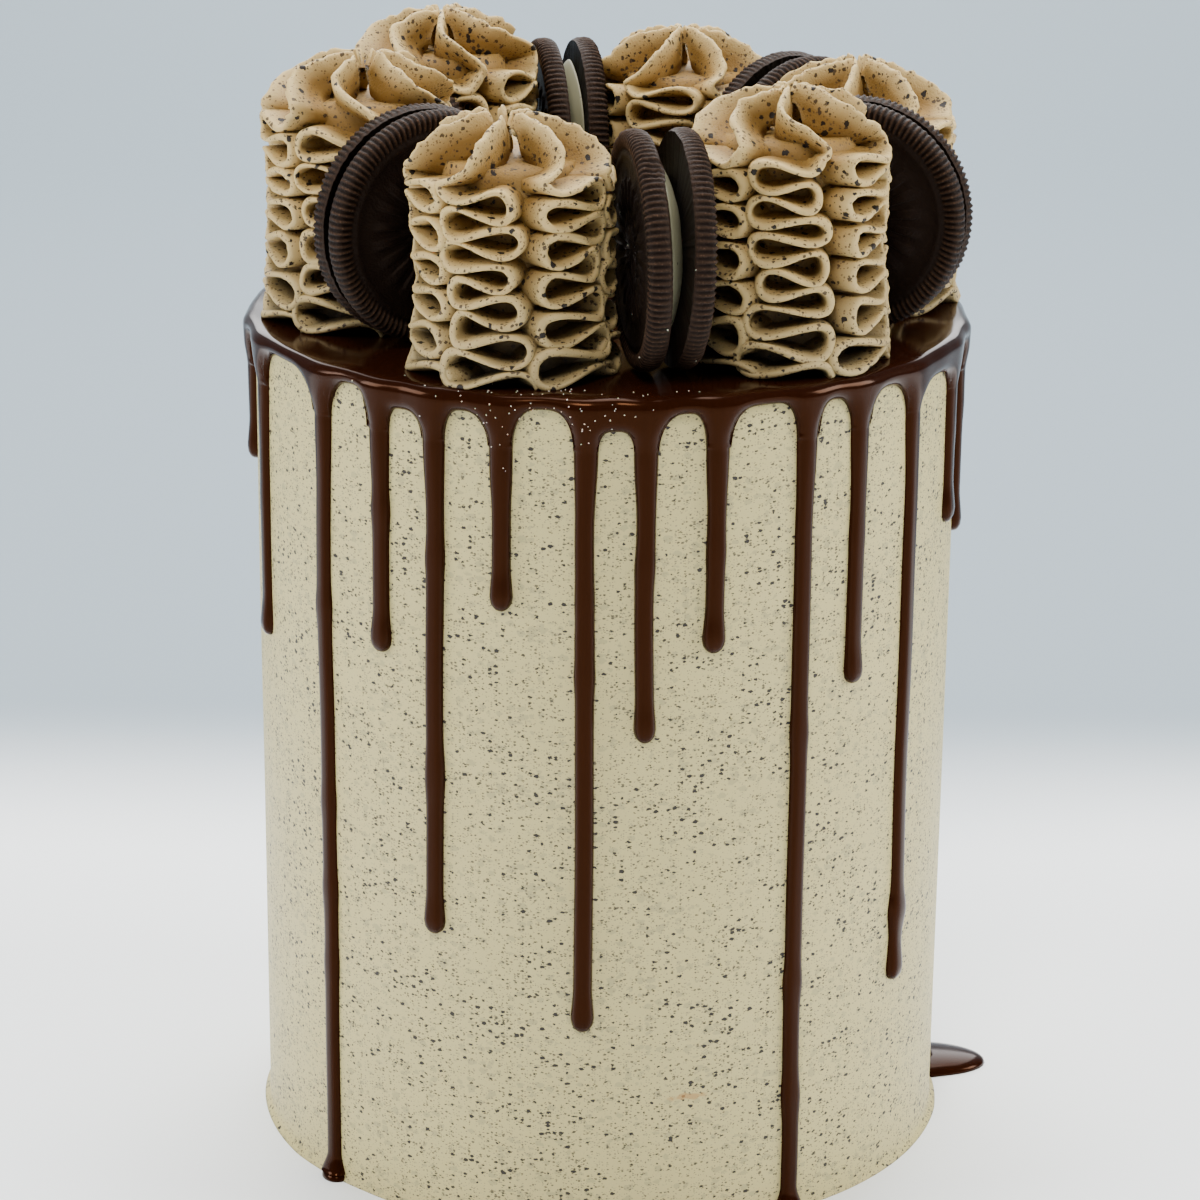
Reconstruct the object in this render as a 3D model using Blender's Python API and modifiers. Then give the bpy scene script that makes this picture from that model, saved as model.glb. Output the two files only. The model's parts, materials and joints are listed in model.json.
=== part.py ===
"""Tall layer cake: frosted body, poured glaze with drips, piped ruffle swirls and sandwich cookies.

Every node is one closed solid. The cake stands on its flat base, centred on the origin, with
its front towards -Y. Angles round the cake are in degrees, 0 at the front and growing towards +X.
"""
import math
import random

import bmesh
import bpy
from mathutils import Matrix, Vector

MM = 0.001

# Driving dimensions.
CAKE_RADIUS = 70 * MM        # frosted body
CAKE_TOP = 167.2 * MM        # height of the frosted body
CAKE_CHAMFER = 1.0 * MM      # edge break hidden under the glaze
CAKE_STEPS = 72
GAP = 0.3 * MM               # left between pieces that touch

GLAZE_THICK = 2.0 * MM       # on the flat top
GLAZE_RIM = 72.0 * MM        # widest radius of the rounded rim
GLAZE_EDGE = 0.8 * MM        # thickness along the arches
RIM_DROP = 3.0 * MM          # how far below the top the rim is widest
ARCH_DEPTH = 4.6 * MM        # top of an arch below the glaze's top
MOUTH_DEPTH = 12.0 * MM      # where a drip leaves the arches
DRIP_HALF = 1.9 * MM         # half width of a drip
DRIP_MOUTH_HALF = 2.3 * MM   # the same where it leaves the band
DRIP_BULB = 1.22             # widening at its end
DRIP_THICK = 1.7 * MM
DRIP_SHOULDER = 0.45         # across a drip, where its round face turns
ARCH_PLACES = (0.18, 0.5, 0.82)

SWIRL_RADIUS = 18.0 * MM     # towards the cookies beside it
SWIRL_STRETCH = 1.07         # how much further it reaches towards the rim and the middle
SWIRL_HEIGHTS = (48, 51.5, 48, 48, 53, 52)   # mm, foot to torn tip
SWIRL_RIBS = 7
SWIRL_ROWS = 20
SWIRL_FOLDS = 6.5            # ruffles up each rib
SWIRL_GROOVE = 0.66          # groove radius over crest radius
SWIRL_SWAY = 3.2 * MM        # sideways throw of the ruffles
SWIRL_PLACES = (             # degrees from the front, mm from the middle
    (-19, 50.6), (41, 50.6), (101, 51.6), (161, 50.6), (220, 50.6), (279, 48.2),
)

COOKIE_RADIUS = 22.4 * MM
WAFER_THICK = 4.6 * MM
WAFER_CHAMFER = 0.7 * MM
CREAM_THICK = 2.2 * MM
CREAM_RADIUS = 19.4 * MM
WAFER_STEPS = 28
COOKIE_PLACES = (            # degrees, mm from the middle, degrees turned out of the radius, splay
    (11, 50.6, 0, 3.0), (71, 50.6, 0, 0.0), (131, 50.6, 0, 1.5),
    (190.5, 50.6, 0, 2.0), (248.5, 50.6, 0, 0.0), (310, 44.8, -8, 0.5),
)

# Drips as (angle in degrees, length in mm below the glaze's top); those at 169 reach the base.
DRIPS_SHOWN = (
    (-102, 122), (-84, 30), (-71, 62), (-49.5, 169), (-37, 54), (-27, 109), (-16, 42), (-3, 126),
    (6, 67), (17, 50), (32, 169), (42.5, 61), (56, 128), (72.5, 38), (84, 44), (98, 169),
)
DRIPS_BEHIND = 12
BEHIND_LENGTHS = (36, 130)   # mm, shortest and longest

GLAZE_TOP = CAKE_TOP + GAP + GLAZE_THICK
STANDING = GLAZE_TOP + GAP   # height of what stands on the glaze


def make_material(name, colour, roughness):
    """A plain Principled finish; colour is linear RGB."""
    material = bpy.data.materials.new(name)
    material.use_nodes = True
    shader = material.node_tree.nodes["Principled BSDF"]
    shader.inputs["Base Color"].default_value = (*colour, 1.0)
    shader.inputs["Roughness"].default_value = roughness
    shader.inputs["Metallic"].default_value = 0.0
    return material


def add_object(name, mesh, collection, material, smooth_angle=None):
    """Wrap a mesh as a named object in the cake's collection."""
    mesh.materials.append(material)
    if smooth_angle is not None:
        mesh.shade_smooth()
        mesh.set_sharp_from_angle(angle=math.radians(smooth_angle))
    piece = bpy.data.objects.new(name, mesh)
    collection.objects.link(piece)
    return piece


def mesh_from_bmesh(name, bm):
    """Close off a bmesh: outward normals, then a mesh datablock."""
    bmesh.ops.recalc_face_normals(bm, faces=bm.faces)
    mesh = bpy.data.meshes.new(name)
    bm.to_mesh(mesh)
    bm.free()
    return mesh


def round_place(angle_deg, radius, height):
    """A point of the cake from its angle round the axis, radius and height."""
    angle = math.radians(angle_deg)
    return Vector((radius * math.sin(angle), -radius * math.cos(angle), height))


def turned(name, profile, steps, collection, material):
    """Turn a profile of (radius, height) points, given top to bottom, about Z."""
    mesh = bpy.data.meshes.new(name)
    points = [(radius, 0.0, height) for radius, height in profile]
    mesh.from_pydata(points, [(i, i + 1) for i in range(len(points) - 1)], [])
    piece = add_object(name, mesh, collection, material)
    screw = piece.modifiers.new("Turn", "SCREW")
    screw.axis = "Z"
    screw.steps = steps
    screw.render_steps = steps
    screw.use_merge_vertices = True
    screw.merge_threshold = 0.00001
    screw.use_smooth_shade = False
    return piece


# The frosted body ---------------------------------------------------------------------------

def make_body(collection, material):
    """The frosted cake: a plain upright cylinder with its top edge broken."""
    profile = (
        (0.0, CAKE_TOP),
        (CAKE_RADIUS - CAKE_CHAMFER, CAKE_TOP),
        (CAKE_RADIUS, CAKE_TOP - CAKE_CHAMFER),
        (CAKE_RADIUS, 0.0),
        (0.0, 0.0),
    )
    return turned("cake_body", profile, CAKE_STEPS, collection, material)


# The glaze ----------------------------------------------------------------------------------

def all_drips():
    """Every drip as (angle, length in metres), in order round the cake from the left."""
    chance = random.Random(11)
    drips = [(angle, length * MM) for angle, length in DRIPS_SHOWN]
    first = DRIPS_SHOWN[-1][0]
    room = 360 - (first - DRIPS_SHOWN[0][0])
    for i in range(DRIPS_BEHIND):
        angle = first + room * (i + 1 + chance.uniform(-0.2, 0.2)) / (DRIPS_BEHIND + 1)
        drips.append((angle, chance.uniform(*BEHIND_LENGTHS) * MM))
    return drips


def drip_stations(length):
    """Half width, thickness and depth of a drip at each ring below its mouth."""
    bulb = DRIP_HALF * DRIP_BULB
    base = GLAZE_TOP - GAP
    end = min(length, base)
    if end == base:
        # It runs out into a small puddle at the cake's foot.
        return (
            (DRIP_HALF, DRIP_THICK, base * 0.5),
            (DRIP_HALF, DRIP_THICK, base - 9 * MM),
            (1.4 * DRIP_HALF, 1.2 * DRIP_THICK, base - 2.5 * MM),
            (1.9 * DRIP_HALF, 1.7 * DRIP_THICK, base),
        )
    return (
        (DRIP_HALF, DRIP_THICK, MOUTH_DEPTH + 0.3 * (end - MOUTH_DEPTH)),
        (DRIP_HALF, DRIP_THICK, end - 3.2 * bulb),
        (bulb, DRIP_THICK * DRIP_BULB, end - 1.1 * bulb),
        (0.55 * bulb, DRIP_THICK * 0.7, end - 0.1 * bulb),
    )


def add_drip(bm, angle, length, outer, inner):
    """Carry a drip down from its mouth: four outer points, two inner ones, ring after ring."""
    wall = CAKE_RADIUS + GAP
    ring = outer + inner[::-1]
    for half, thick, depth in drip_stations(length):
        height = GLAZE_TOP - depth
        turn = math.degrees(half / wall)
        places = (-turn, -turn * DRIP_SHOULDER, turn * DRIP_SHOULDER, turn)
        radii = (wall + GLAZE_EDGE * 0.5, wall + thick, wall + thick, wall + GLAZE_EDGE * 0.5)
        new_outer = [
            bm.verts.new(round_place(angle + place, radius, height))
            for place, radius in zip(places, radii)
        ]
        new_inner = [bm.verts.new(round_place(angle + place, wall, height)) for place in (-turn, turn)]
        new_ring = new_outer + new_inner[::-1]
        for i in range(len(ring)):
            j = (i + 1) % len(ring)
            bm.faces.new((ring[i], ring[j], new_ring[j], new_ring[i]))
        ring = new_ring
    bm.faces.new(ring)


def glaze_columns():
    """Angles round the rim with the depth of the lower edge there, and the drip that starts at it."""
    drips = all_drips()
    mouth_turn = math.degrees(DRIP_MOUTH_HALF / CAKE_RADIUS)
    columns = []
    for number, (angle, length) in enumerate(drips):
        for place in (-1.0, -DRIP_SHOULDER, DRIP_SHOULDER, 1.0):
            columns.append((angle + place * mouth_turn, MOUTH_DEPTH, number))
        following = drips[(number + 1) % len(drips)][0]
        if following < angle:
            following += 360
        start = angle + mouth_turn
        span = following - mouth_turn - start
        for t in ARCH_PLACES:
            rise = math.sin(math.pi * t) ** 0.45
            columns.append((start + t * span, MOUTH_DEPTH + (ARCH_DEPTH - MOUTH_DEPTH) * rise, None))
    return drips, columns


def make_glaze(collection, material):
    """Poured glaze: a flat top, a rounded rim, arches between the drips and the drips themselves."""
    drips, columns = glaze_columns()
    wall = CAKE_RADIUS + GAP
    bm = bmesh.new()
    rim_rows = (
        (GLAZE_RIM - 3.2 * MM, GLAZE_TOP),
        (GLAZE_RIM - 0.8 * MM, GLAZE_TOP - 0.8 * MM),
        (GLAZE_RIM, GLAZE_TOP - RIM_DROP),
    )
    rows = [
        [bm.verts.new(round_place(angle, radius, height)) for angle, _, _ in columns]
        for radius, height in rim_rows
    ]
    lower = []
    for index, (angle, depth, number) in enumerate(columns):
        shoulder = number is not None and columns[index - 1][2] == number
        shoulder = shoulder and columns[(index + 1) % len(columns)][2] == number
        thick = DRIP_THICK if shoulder else GLAZE_EDGE
        lower.append(bm.verts.new(round_place(angle, wall + thick, GLAZE_TOP - depth)))
    rows.append(lower)
    count = len(columns)
    bm.faces.new(rows[0])
    for upper_row, lower_row in zip(rows, rows[1:]):
        for i in range(count):
            j = (i + 1) % count
            bm.faces.new((upper_row[i], lower_row[i], lower_row[j], upper_row[j]))

    # The inner wall has no points behind a drip's shoulders.
    inner = {}
    for index, (angle, depth, number) in enumerate(columns):
        if index % (4 + len(ARCH_PLACES)) in (1, 2):
            continue
        inner[index] = (
            bm.verts.new(round_place(angle, wall, GLAZE_TOP - depth)),
            bm.verts.new(round_place(angle, wall, CAKE_TOP + GAP)),
        )
    bm.faces.new([pair[1] for pair in inner.values()])
    kept = list(inner)
    for here, there in zip(kept, kept[1:] + kept[:1]):
        bm.faces.new((inner[here][0], inner[here][1], inner[there][1], inner[there][0]))
        if there - here == 3:
            number = columns[here][2]
            mouth = [lower[here + i] for i in range(4)]
            add_drip(bm, *drips[number], mouth, [inner[here][0], inner[there][0]])
        else:
            bm.faces.new((lower[here], inner[here][0], inner[there][0], lower[there]))
    mesh = mesh_from_bmesh("ganache_glaze", bm)
    return add_object("ganache_glaze", mesh, collection, material, smooth_angle=40)


# The piped swirls ---------------------------------------------------------------------------

def swirl_envelope(rise):
    """Radius of a swirl over its largest one, from 0 at its foot to 1 at its tip."""
    shoulder = 0.72
    if rise < shoulder:
        return 1.0 - 0.04 * math.sin(math.pi * rise / shoulder)
    fall = (rise - shoulder) / (1 - shoulder)
    return max(math.sqrt(max(1 - fall ** 2, 0)), 0.2)


def make_swirl(number, angle, ring, height, collection, material):
    """A star-tip swirl: ribs round it, each one thrown into ruffles as it rises to a torn tip."""
    chance = random.Random(100 + number)
    ribs = [(chance.uniform(0, 1), chance.uniform(0.9, 1.0)) for _ in range(SWIRL_RIBS)]
    lean = Vector((chance.uniform(-2, 2), chance.uniform(-2, 2), 0)) * MM
    bm = bmesh.new()
    rows = []
    for step in range(SWIRL_ROWS + 1):
        rise = step / SWIRL_ROWS
        radius = SWIRL_RADIUS * swirl_envelope(rise)
        calm = min(1.0, 3.5 * (1 - rise))
        row = []
        for rib, (phase, reach) in enumerate(ribs):
            turn = 2 * math.pi * rib / SWIRL_RIBS
            wave = 2 * math.pi * (SWIRL_FOLDS * rise + phase)
            sway = SWIRL_SWAY * calm * math.sin(wave) / SWIRL_RADIUS
            crest = radius * reach * (1 - 0.05 * calm * (1 + math.cos(2 * wave)))
            groove = radius * SWIRL_GROOVE
            for reach_here, turn_here in ((crest, turn + sway), (groove, turn + math.pi / SWIRL_RIBS)):
                x = reach_here * math.cos(turn_here)
                y = reach_here * math.sin(turn_here) * SWIRL_STRETCH
                row.append(bm.verts.new(Vector((x, y, rise * height)) + lean * rise ** 2))
        rows.append(row)
    bm.faces.new(rows[0])
    bm.faces.new(rows[-1])
    count = len(rows[0])
    for lower_row, upper_row in zip(rows, rows[1:]):
        for i in range(count):
            j = (i + 1) % count
            bm.faces.new((lower_row[i], lower_row[j], upper_row[j], upper_row[i]))
    mesh = mesh_from_bmesh(f"swirl_{number}", bm)
    piece = add_object(f"swirl_{number}", mesh, collection, material, smooth_angle=50)
    piece.location = round_place(angle, ring, STANDING)
    piece.rotation_euler = (0, 0, math.radians(angle))
    return piece


# The sandwich cookies -----------------------------------------------------------------------

def wafer_profile():
    """Half outline of a wafer, its broken edge towards +Z."""
    half = WAFER_THICK / 2
    return (
        (0.0, half),
        (COOKIE_RADIUS - WAFER_CHAMFER, half),
        (COOKIE_RADIUS, half - WAFER_CHAMFER),
        (COOKIE_RADIUS, -half),
        (0.0, -half),
    )


def make_cookie(number, place, collection, wafer_material, cream_material):
    """Two wafers and their cream, on edge, with the cookie's face square to the ring or nearly so."""
    angle, ring, turn, splay = place
    centre = round_place(angle, ring, STANDING + COOKIE_RADIUS)
    stand = Matrix.Translation(centre) @ Matrix.Rotation(math.radians(angle + turn), 4, "Z")
    stand = stand @ Matrix.Rotation(math.radians(90), 4, "Y")
    cream_mesh = bpy.data.meshes.new(f"cookie_{number}_cream")
    bm = bmesh.new()
    bmesh.ops.create_cone(
        bm, cap_ends=True, segments=24, radius1=CREAM_RADIUS, radius2=CREAM_RADIUS, depth=CREAM_THICK
    )
    bm.to_mesh(cream_mesh)
    bm.free()
    cream = add_object(f"cookie_{number}_cream", cream_mesh, collection, cream_material, 40)
    cream.matrix_world = stand
    offset = CREAM_THICK / 2 + GAP + WAFER_THICK / 2
    for side, letter in ((1, "a"), (-1, "b")):
        wafer = turned(
            f"cookie_{number}_wafer_{letter}", wafer_profile(), WAFER_STEPS, collection, wafer_material
        )
        # A splayed wafer turns about the foot of its inner face, so that only its top stands off.
        foot = Vector((COOKIE_RADIUS, 0.0, side * (CREAM_THICK / 2 + GAP)))
        tilt = Matrix.Translation(foot) @ Matrix.Rotation(math.radians(side * splay / 2), 4, "Y")
        tilt = tilt @ Matrix.Translation(-foot)
        face_out = Matrix.Rotation(math.pi if side < 0 else 0.0, 4, "Y")
        lift = Matrix.Translation((0.0, 0.0, side * offset))
        wafer.matrix_world = stand @ tilt @ lift @ face_out


def main():
    """Clear the scene and make every node of the cake."""
    for old in list(bpy.data.objects):
        bpy.data.objects.remove(old, do_unlink=True)
    collection = bpy.data.collections.new("layer_cake")
    bpy.context.scene.collection.children.link(collection)
    frosting = make_material("speckled_frosting", (0.62, 0.58, 0.45), 0.55)
    glaze = make_material("ganache", (0.045, 0.014, 0.007), 0.18)
    piped = make_material("piped_buttercream", (0.66, 0.52, 0.35), 0.6)
    wafer = make_material("cocoa_wafer", (0.022, 0.014, 0.011), 0.75)
    cream = make_material("cookie_cream", (0.70, 0.67, 0.55), 0.6)

    make_body(collection, frosting)
    make_glaze(collection, glaze)
    for number, ((angle, ring), height) in enumerate(zip(SWIRL_PLACES, SWIRL_HEIGHTS), start=1):
        make_swirl(number, angle, ring * MM, height * MM, collection, piped)
    for number, (angle, ring, turn, splay) in enumerate(COOKIE_PLACES, start=1):
        make_cookie(number, (angle, ring * MM, turn, splay), collection, wafer, cream)


main()
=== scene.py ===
"""Looks for a tall drip cake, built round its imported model.

The frosted side, the poured glaze, the ruffled swirls and the sandwich cookies each stand for the
plain solids of the model, in the same places and at the same sizes.
"""

import json
import math
import random

import bpy
import numpy as np
from mathutils import Euler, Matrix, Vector, noise
from mathutils.bvhtree import BVHTree

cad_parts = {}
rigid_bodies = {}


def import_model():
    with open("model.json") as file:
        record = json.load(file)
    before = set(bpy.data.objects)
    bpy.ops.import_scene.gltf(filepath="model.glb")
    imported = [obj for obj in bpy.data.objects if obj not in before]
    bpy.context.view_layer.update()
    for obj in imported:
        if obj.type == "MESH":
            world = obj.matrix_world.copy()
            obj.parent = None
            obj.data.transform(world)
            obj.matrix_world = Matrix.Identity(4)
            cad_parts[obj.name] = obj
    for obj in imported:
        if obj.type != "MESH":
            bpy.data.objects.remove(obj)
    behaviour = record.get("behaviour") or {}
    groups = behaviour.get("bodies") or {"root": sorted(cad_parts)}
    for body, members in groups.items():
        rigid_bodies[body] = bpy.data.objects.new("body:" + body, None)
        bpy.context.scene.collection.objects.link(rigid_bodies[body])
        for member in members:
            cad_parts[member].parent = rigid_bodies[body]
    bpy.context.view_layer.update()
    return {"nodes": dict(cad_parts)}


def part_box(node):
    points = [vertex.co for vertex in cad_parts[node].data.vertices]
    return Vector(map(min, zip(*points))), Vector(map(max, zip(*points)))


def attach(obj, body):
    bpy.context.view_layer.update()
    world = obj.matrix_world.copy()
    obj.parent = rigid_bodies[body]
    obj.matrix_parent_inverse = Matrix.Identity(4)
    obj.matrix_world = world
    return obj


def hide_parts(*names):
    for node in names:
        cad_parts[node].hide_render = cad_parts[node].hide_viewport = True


bl_info = {
    "name": "Drip Cake",
    "version": (1, 0, 0),
    "blender": (4, 5, 0),
    "location": "3D View > Sidebar > Drip Cake",
    "description": "Frosting, glaze, piped ruffles and sandwich cookies round a packed cake",
    "category": "Object",
}

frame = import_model()

MM = 0.001
BODY_LOW, BODY_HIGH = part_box("cake_body")
CAKE_RADIUS = (BODY_HIGH[0] - BODY_LOW[0]) / 2
CAKE_TOP = BODY_HIGH[2]
GLAZE_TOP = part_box("ganache_glaze")[1][2]
SWIRL_NODES = sorted(name for name in frame["nodes"] if name.startswith("swirl_"))
CREAM_NODES = sorted(name for name in frame["nodes"] if name.endswith("_cream"))
WAFER_NODES = sorted(name for name in frame["nodes"] if "_wafer_" in name)


# Sizes and colours that a user would change --------------------

class FrostingSettings(bpy.types.PropertyGroup):
    """The smoothed side of the cake."""
    cream: bpy.props.StringProperty(
        name="Cream", description="sRGB hex of the frosting", default="C6B97F")
    crumb: bpy.props.StringProperty(
        name="Crumb", description="sRGB hex of the biscuit crumbs in it", default="1F1813")
    crumb_size: bpy.props.FloatProperty(
        name="Crumb size", description="Width of the larger crumbs", default=0.0006, unit="LENGTH")
    wave: bpy.props.FloatProperty(
        name="Wave", description="How far the scraper left the side from round",
        default=0.00012, unit="LENGTH")


class GlazeSettings(bpy.types.PropertyGroup):
    """The poured chocolate glaze."""
    chocolate: bpy.props.StringProperty(
        name="Chocolate", description="sRGB hex of the set glaze", default="1E0A03")
    drip_width: bpy.props.FloatProperty(
        name="Drip width", description="Width of a drip half way down", default=0.0037, unit="LENGTH")
    drip_thickness: bpy.props.FloatProperty(
        name="Drip thickness", description="How far a drip stands off the side",
        default=0.0016, unit="LENGTH")


class SwirlSettings(bpy.types.PropertyGroup):
    """The ruffled swirls, piped with a large open star tip."""
    buttercream: bpy.props.StringProperty(
        name="Buttercream", description="sRGB hex of the piped buttercream", default="C8AF78")
    ribs: bpy.props.IntProperty(
        name="Ribs", description="Teeth of the piping tip", default=7, min=5, max=10)
    fold: bpy.props.FloatProperty(
        name="Fold", description="Height of one ruffle, down and back", default=0.0070, unit="LENGTH")
    sheet: bpy.props.FloatProperty(
        name="Sheet", description="Thickness of a ruffle at its edge", default=0.00125, unit="LENGTH")


class SugarSettings(bpy.types.PropertyGroup):
    """Loose sugar that fell on the front of the glaze and on the front cookie."""
    sugar: bpy.props.StringProperty(
        name="Sugar", description="sRGB hex of the grains", default="D9CFBC")
    count: bpy.props.IntProperty(
        name="Count", description="Grains tried on the glaze", default=110, min=0)
    size: bpy.props.FloatProperty(
        name="Size", description="Width of a grain", default=0.00021, unit="LENGTH")


class CookieSettings(bpy.types.PropertyGroup):
    """The sandwich cookies."""
    # Painted shade: this near-black colour is painted into the wafers' grooves and sunk middles.
    cocoa_and_groove_shade: bpy.props.StringProperty(
        name="Cocoa groove shade", description="sRGB hex of the wafers' grooves", default="0C0605")
    # Painted shade: the cream's colour is darkened for the shade it lies in between the wafers.
    shaded_filling: bpy.props.StringProperty(
        name="Shaded filling", description="sRGB hex of the cream between them", default="8A876C")
    teeth: bpy.props.IntProperty(
        name="Teeth", description="Ridges round a wafer's rim", default=112, min=40, max=180)


# Helpers for meshes --------------------

def settings():
    """This scene's own copy of everything a user can change."""
    return bpy.context.scene.drip_cake


def add_object(name, data):
    """Put a mesh, lamp or camera in the scene."""
    made = bpy.data.objects.new(name, data)
    bpy.context.scene.collection.objects.link(made)
    return made


def add_mesh(name, verts, faces, material):
    """Make a smooth mesh object of one material."""
    mesh = bpy.data.meshes.new(name)
    mesh.from_pydata(np.asarray(verts).tolist(), [], faces)
    mesh.shade_smooth()
    mesh.materials.append(material)
    return add_object(name, mesh)


def add_piece(name, verts, faces, material, nodes, fold=None):
    """Make a mesh piece that rides on the cake and stands for some of its nodes."""
    piece = add_mesh(name, verts, faces, material)
    if fold is not None:
        # How deep in a fold or groove each point lies, 0 to 1, which the shader turns into painted shade.
        piece.data.attributes.new("fold", "FLOAT", "POINT").data.foreach_set("value", fold)
    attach(piece, "root")
    if nodes:
        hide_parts(*nodes)
    return piece


def tube_faces(rows, columns, start=0):
    """Quads round a tube of vertices laid out row after row."""
    r, c = np.meshgrid(np.arange(rows - 1), np.arange(columns), indexing="ij")
    beside = (c + 1) % columns
    quads = np.stack([r * columns + c, r * columns + beside, (r + 1) * columns + beside,
                      (r + 1) * columns + c], axis=-1)
    return (quads.reshape(-1, 4) + start).tolist()


def closed_tube(rows, columns, start=0):
    """The same tube with a face across each end."""
    last = start + (rows - 1) * columns
    ends = [list(range(start, start + columns))[::-1], list(range(last, last + columns))]
    return tube_faces(rows, columns, start) + ends


def flipped(faces):
    """The same faces, turned to look the other way."""
    return [face[::-1] for face in faces]


def smoothstep(low, high, x):
    """0 below low, 1 above high, and an even S between them."""
    t = np.clip((x - low) / (high - low), 0.0, 1.0)
    return t * t * (3 - 2 * t)


def noise_at(x, y, z):
    """Smooth noise at many points, from arrays or numbers."""
    return np.array([noise.noise(Vector(point)) for point in zip(*np.broadcast_arrays(x, y, z))])


def wander(x, seed):
    """A smooth random line through -1 to 1, read at x, with bends about 1 apart."""
    return noise_at(x, seed * 7.31, 0.37) * 2


def on_cake(angle, radius, height):
    """Points of the cake from angles in radians, 0 at the front and growing towards +X."""
    return np.stack(np.broadcast_arrays(radius * np.sin(angle), -radius * np.cos(angle), height), axis=-1)


def node_points(name):
    """The vertices of one of the model's nodes."""
    mesh = frame["nodes"][name].data
    points = np.empty(len(mesh.vertices) * 3)
    mesh.vertices.foreach_get("co", points)
    return points.reshape(-1, 3)


# Helpers for materials --------------------

def linear(hex_colour):
    """An sRGB hex colour as linear RGBA."""
    parts = [int(hex_colour[i:i + 2], 16) / 255 for i in (0, 2, 4)]
    return [p / 12.92 if p <= 0.04045 else ((p + 0.055) / 1.055) ** 2.4 for p in parts] + [1.0]


def add_node(tree, kind, inputs=None, **options):
    """Add a shader node; an input takes a value, a socket, or a node for its first output."""
    made = tree.nodes.new("ShaderNode" + kind)
    for name, value in options.items():
        setattr(made, name, value)
    for name, value in (inputs or {}).items():
        if isinstance(value, bpy.types.Node):
            value = value.outputs[0]
        if isinstance(value, bpy.types.NodeSocket):
            tree.links.new(value, made.inputs[name])
        else:
            made.inputs[name].default_value = value
    return made


def new_material(name, **values):
    """A material whose shader has these values; returns it, its node tree and the shader."""
    material = bpy.data.materials.new(name)
    material.use_nodes = True
    tree = material.node_tree
    shader = tree.nodes["Principled BSDF"]
    for socket, value in values.items():
        shader.inputs[socket.replace("_", " ")].default_value = value
    return material, tree, shader


def layered(tree, tone, *layers):
    """A tone with others laid over it in turn, as (factor, tone), each where its factor says."""
    for factor, over in layers:
        mixed = add_node(tree, "Mix", {"Factor": factor, 6: tone, 7: over}, data_type="RGBA")
        tone = mixed.outputs[2]
    return tone


def dress(tree, shader, tone, relief=None, strength=0.0, depth=0.0):
    """Give a shader its colour and, from a texture, its fine relief."""
    tree.links.new(tone, shader.inputs["Base Color"])
    if relief:
        bump = add_node(tree, "Bump", {"Height": relief, "Strength": strength, "Distance": depth})
        tree.links.new(bump.outputs["Normal"], shader.inputs["Normal"])


def crumb_mask(tree, place, cell, share, width):
    """Where crumbs show: a share of the cells, each with an uneven grain about as wide as said."""
    bend = add_node(tree, "TexNoise", {"Vector": place, "Scale": 1.3 / width, "Detail": 2.0})
    offset = add_node(tree, "VectorMath", {0: bend.outputs["Color"], 1: (0.5, 0.5, 0.5)},
                      operation="SUBTRACT")
    push = add_node(tree, "VectorMath", {0: offset, "Scale": width * 1.1}, operation="SCALE")
    bent = add_node(tree, "VectorMath", {0: place, 1: push}, operation="ADD")
    cells = add_node(tree, "TexVoronoi", {"Vector": bent, "Scale": 1 / cell})
    draw = add_node(tree, "SeparateColor", {"Color": cells.outputs["Color"]})
    # Crumbs gather in some places and are few in others.
    drift = add_node(tree, "TexNoise", {"Vector": place, "Scale": 0.12 / cell, "Detail": 1.0})
    lot = add_node(tree, "Math", {0: drift, 1: 0.7, 2: -0.35}, operation="MULTIPLY_ADD")
    grouped = add_node(tree, "Math", {0: draw.outputs["Red"], 1: lot}, operation="ADD")
    reach = add_node(tree, "MapRange", {"Value": grouped, "From Min": 1 - share, "From Max": 1.0,
                                        "To Min": -0.02, "To Max": width / cell * 0.75})
    gap = add_node(tree, "Math", {0: reach, 1: cells.outputs["Distance"]}, operation="SUBTRACT")
    return add_node(tree, "MapRange", {"Value": gap, "From Min": 0.0, "From Max": 0.10 * width / cell})


def crumb_layers(tree, place, unit, crumbs):
    """Layers of crumbs, from (mm apart, share of cells, width in units, strength, colour)."""
    for apart, share, width, strength, crumb in crumbs:
        mask = crumb_mask(tree, place, apart * MM, share, width * unit)
        yield add_node(tree, "Math", {0: mask, 1: strength}, operation="MULTIPLY"), linear(crumb)


# Materials --------------------

SMEAR_ANGLE = 14             # degrees from the front, of a small smear of caramel
SMEAR_HEIGHT = 29 * MM


def caramel_smear(tree, place):
    """Where a thin ragged smear, about 9 mm wide and 2 mm high, lies on the front."""
    middle = on_cake(math.radians(SMEAR_ANGLE), CAKE_RADIUS, SMEAR_HEIGHT)
    away = add_node(tree, "VectorMath", {0: place, 1: tuple(middle)}, operation="SUBTRACT")
    squashed = add_node(tree, "VectorMath", {0: away, 1: (220, 220, 1150)}, operation="MULTIPLY")
    far = add_node(tree, "VectorMath", {0: squashed}, operation="LENGTH")
    ragged = add_node(tree, "TexNoise", {"Vector": place, "Scale": 700.0, "Detail": 2.0})
    edge = add_node(tree, "Math", {0: ragged, 1: 1.6, 2: far.outputs["Value"]}, operation="MULTIPLY_ADD")
    return add_node(tree, "MapRange", {"Value": edge, "From Min": 1.75, "From Max": 1.35, "To Max": 0.6})


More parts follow.
